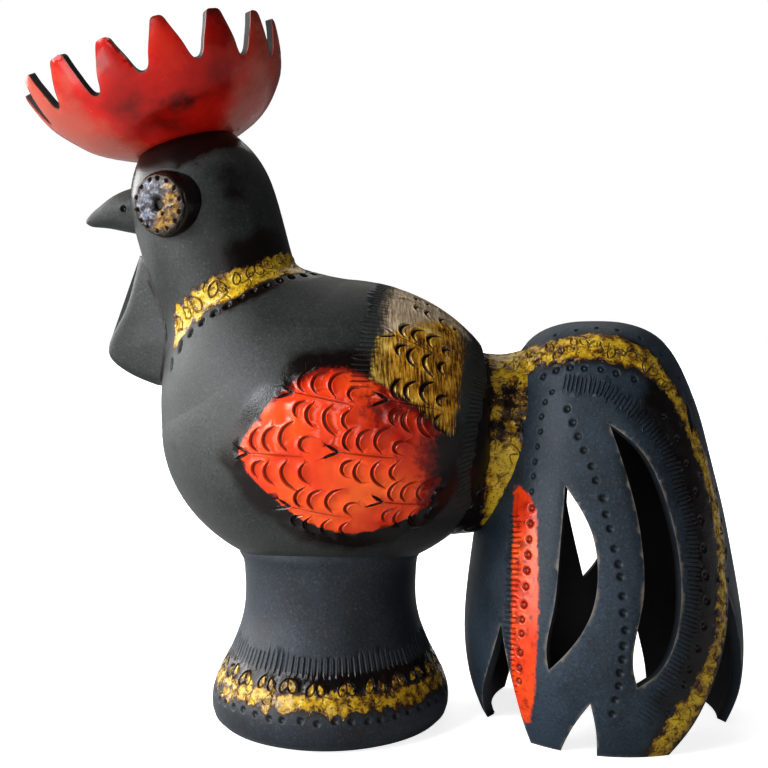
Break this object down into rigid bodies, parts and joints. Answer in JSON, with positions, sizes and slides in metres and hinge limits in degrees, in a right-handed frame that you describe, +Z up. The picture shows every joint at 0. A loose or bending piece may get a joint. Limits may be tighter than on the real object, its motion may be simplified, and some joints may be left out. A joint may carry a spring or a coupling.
{
  "type": "pottery rooster",
  "caption": "Standing rooster in fired clay: flared hollow foot, egg-shaped body, leaning neck, toothed bowl comb and an open tail dome cut into feathers.",
  "frame": {"origin": "on the ground, at the middle of the length and width of the object's box", "axes": "+X towards the tail, -X towards the beak, +Z up, -Y towards the rooster's left side"},
  "size_m": [0.421, 0.1742, 0.4084],
  "materials": {
    "black_clay": "matte",
    "red_glaze": "gloss",
    "yellow_glaze": "satin",
    "eye_glaze": "gloss"
  },
  "bodies": {
    "root": {"foot": "black_clay", "body": "black_clay", "neck_head": "black_clay", "comb": "red_glaze", "beak": "black_clay", "left_eye_pad": "black_clay", "right_eye_pad": "black_clay", "left_eye_ring": "eye_glaze", "right_eye_ring": "eye_glaze", "wattle": "black_clay", "tail_collar": "yellow_glaze", "tail": "black_clay"}
  },
  "joints": []
}
